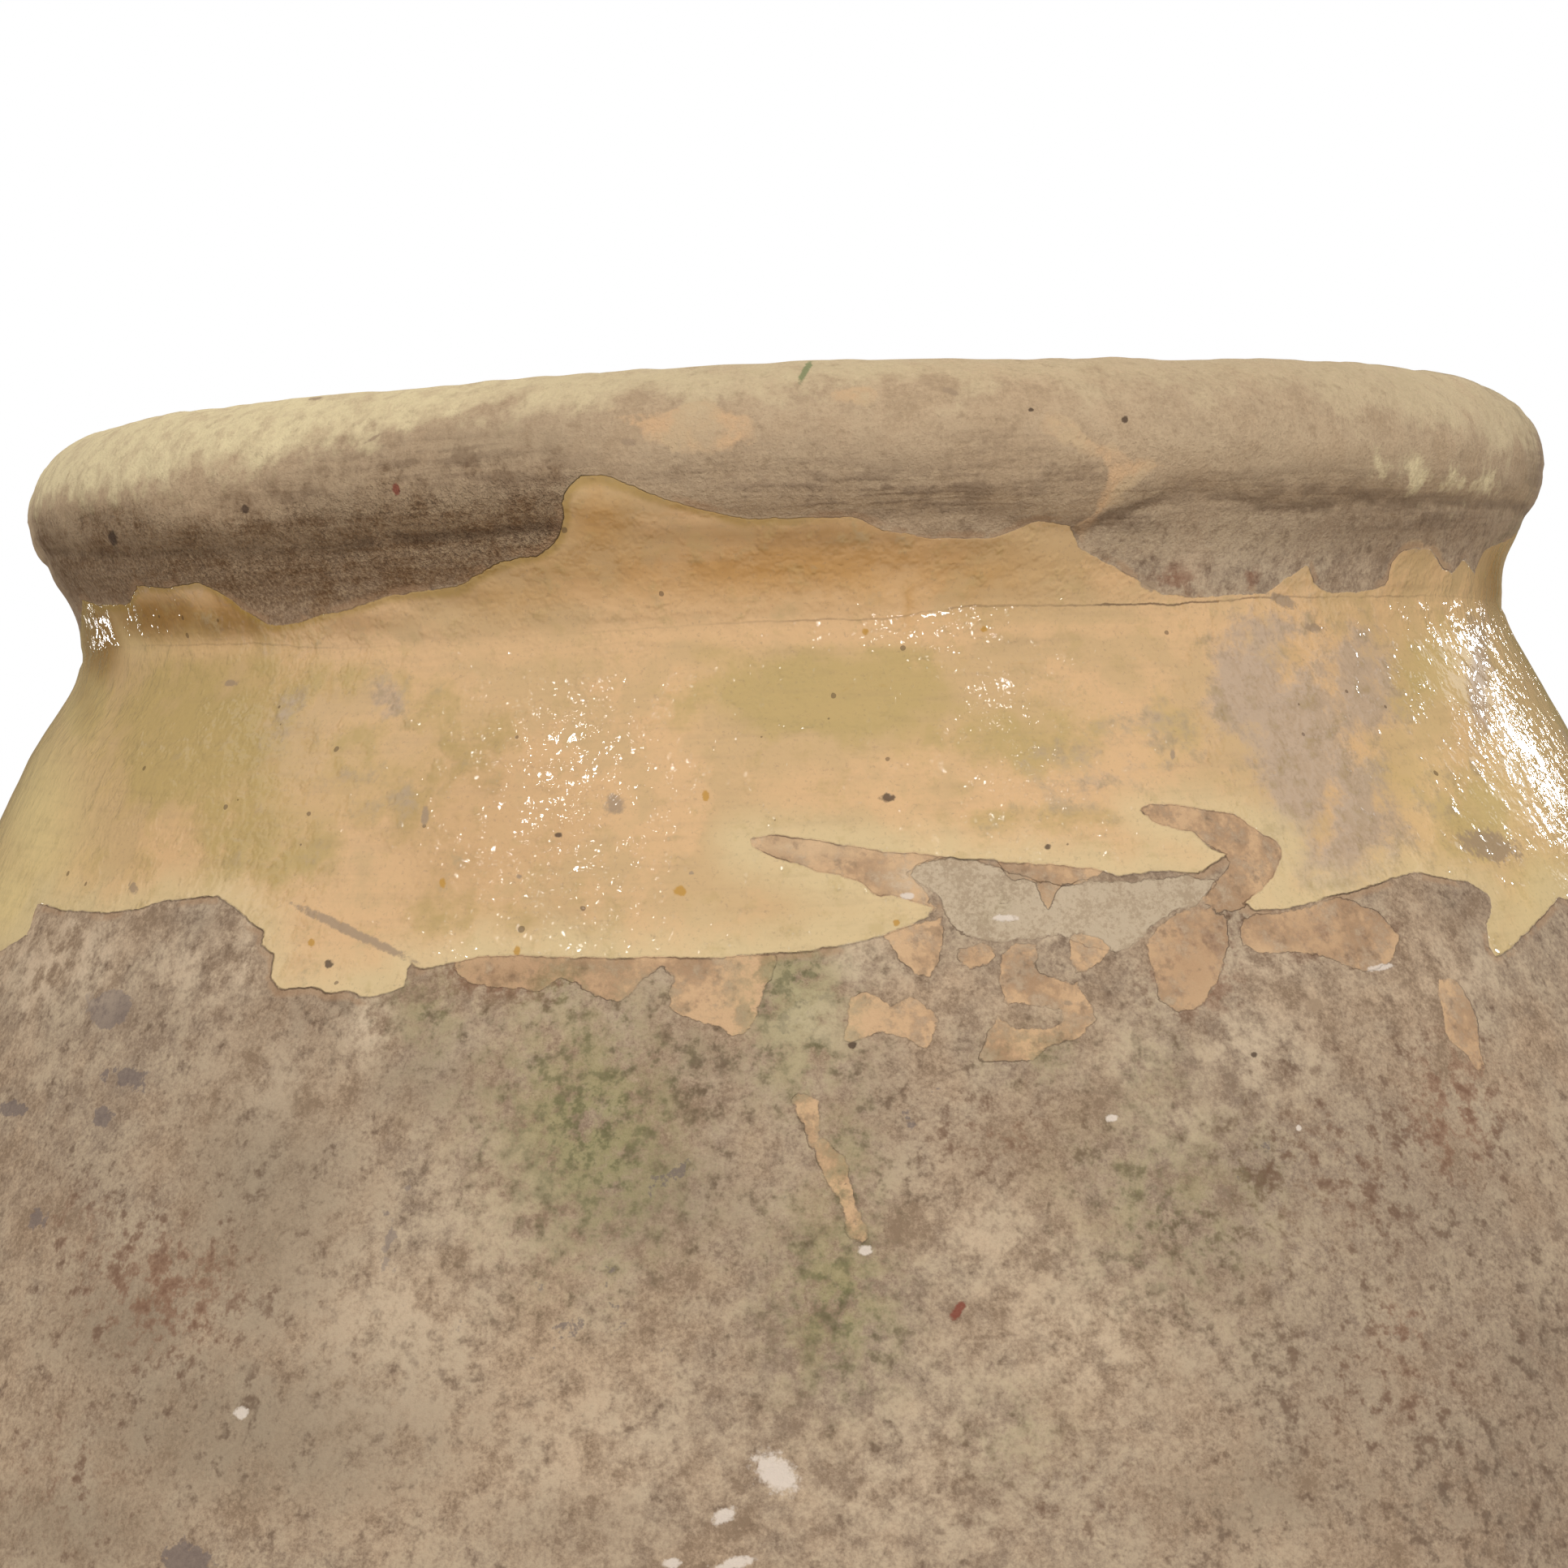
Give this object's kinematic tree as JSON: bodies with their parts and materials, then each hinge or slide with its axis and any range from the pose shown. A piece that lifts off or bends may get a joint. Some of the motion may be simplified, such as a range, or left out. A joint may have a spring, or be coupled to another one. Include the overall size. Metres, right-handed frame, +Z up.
{
  "type": "biot jar",
  "caption": "Large egg-shaped earthenware storage jar with a thick rolled lip, partly glazed round the neck and shoulder.",
  "frame": {"origin": "middle of the flat foot's underside", "axes": "+Z up along the jar's axis, out of the mouth; -Y is the side that the picture shows"},
  "size_m": [0.6359, 0.636, 0.9],
  "materials": {
    "earthenware": "satin"
  },
  "bodies": {
    "root": {"jar": "earthenware"}
  },
  "joints": []
}
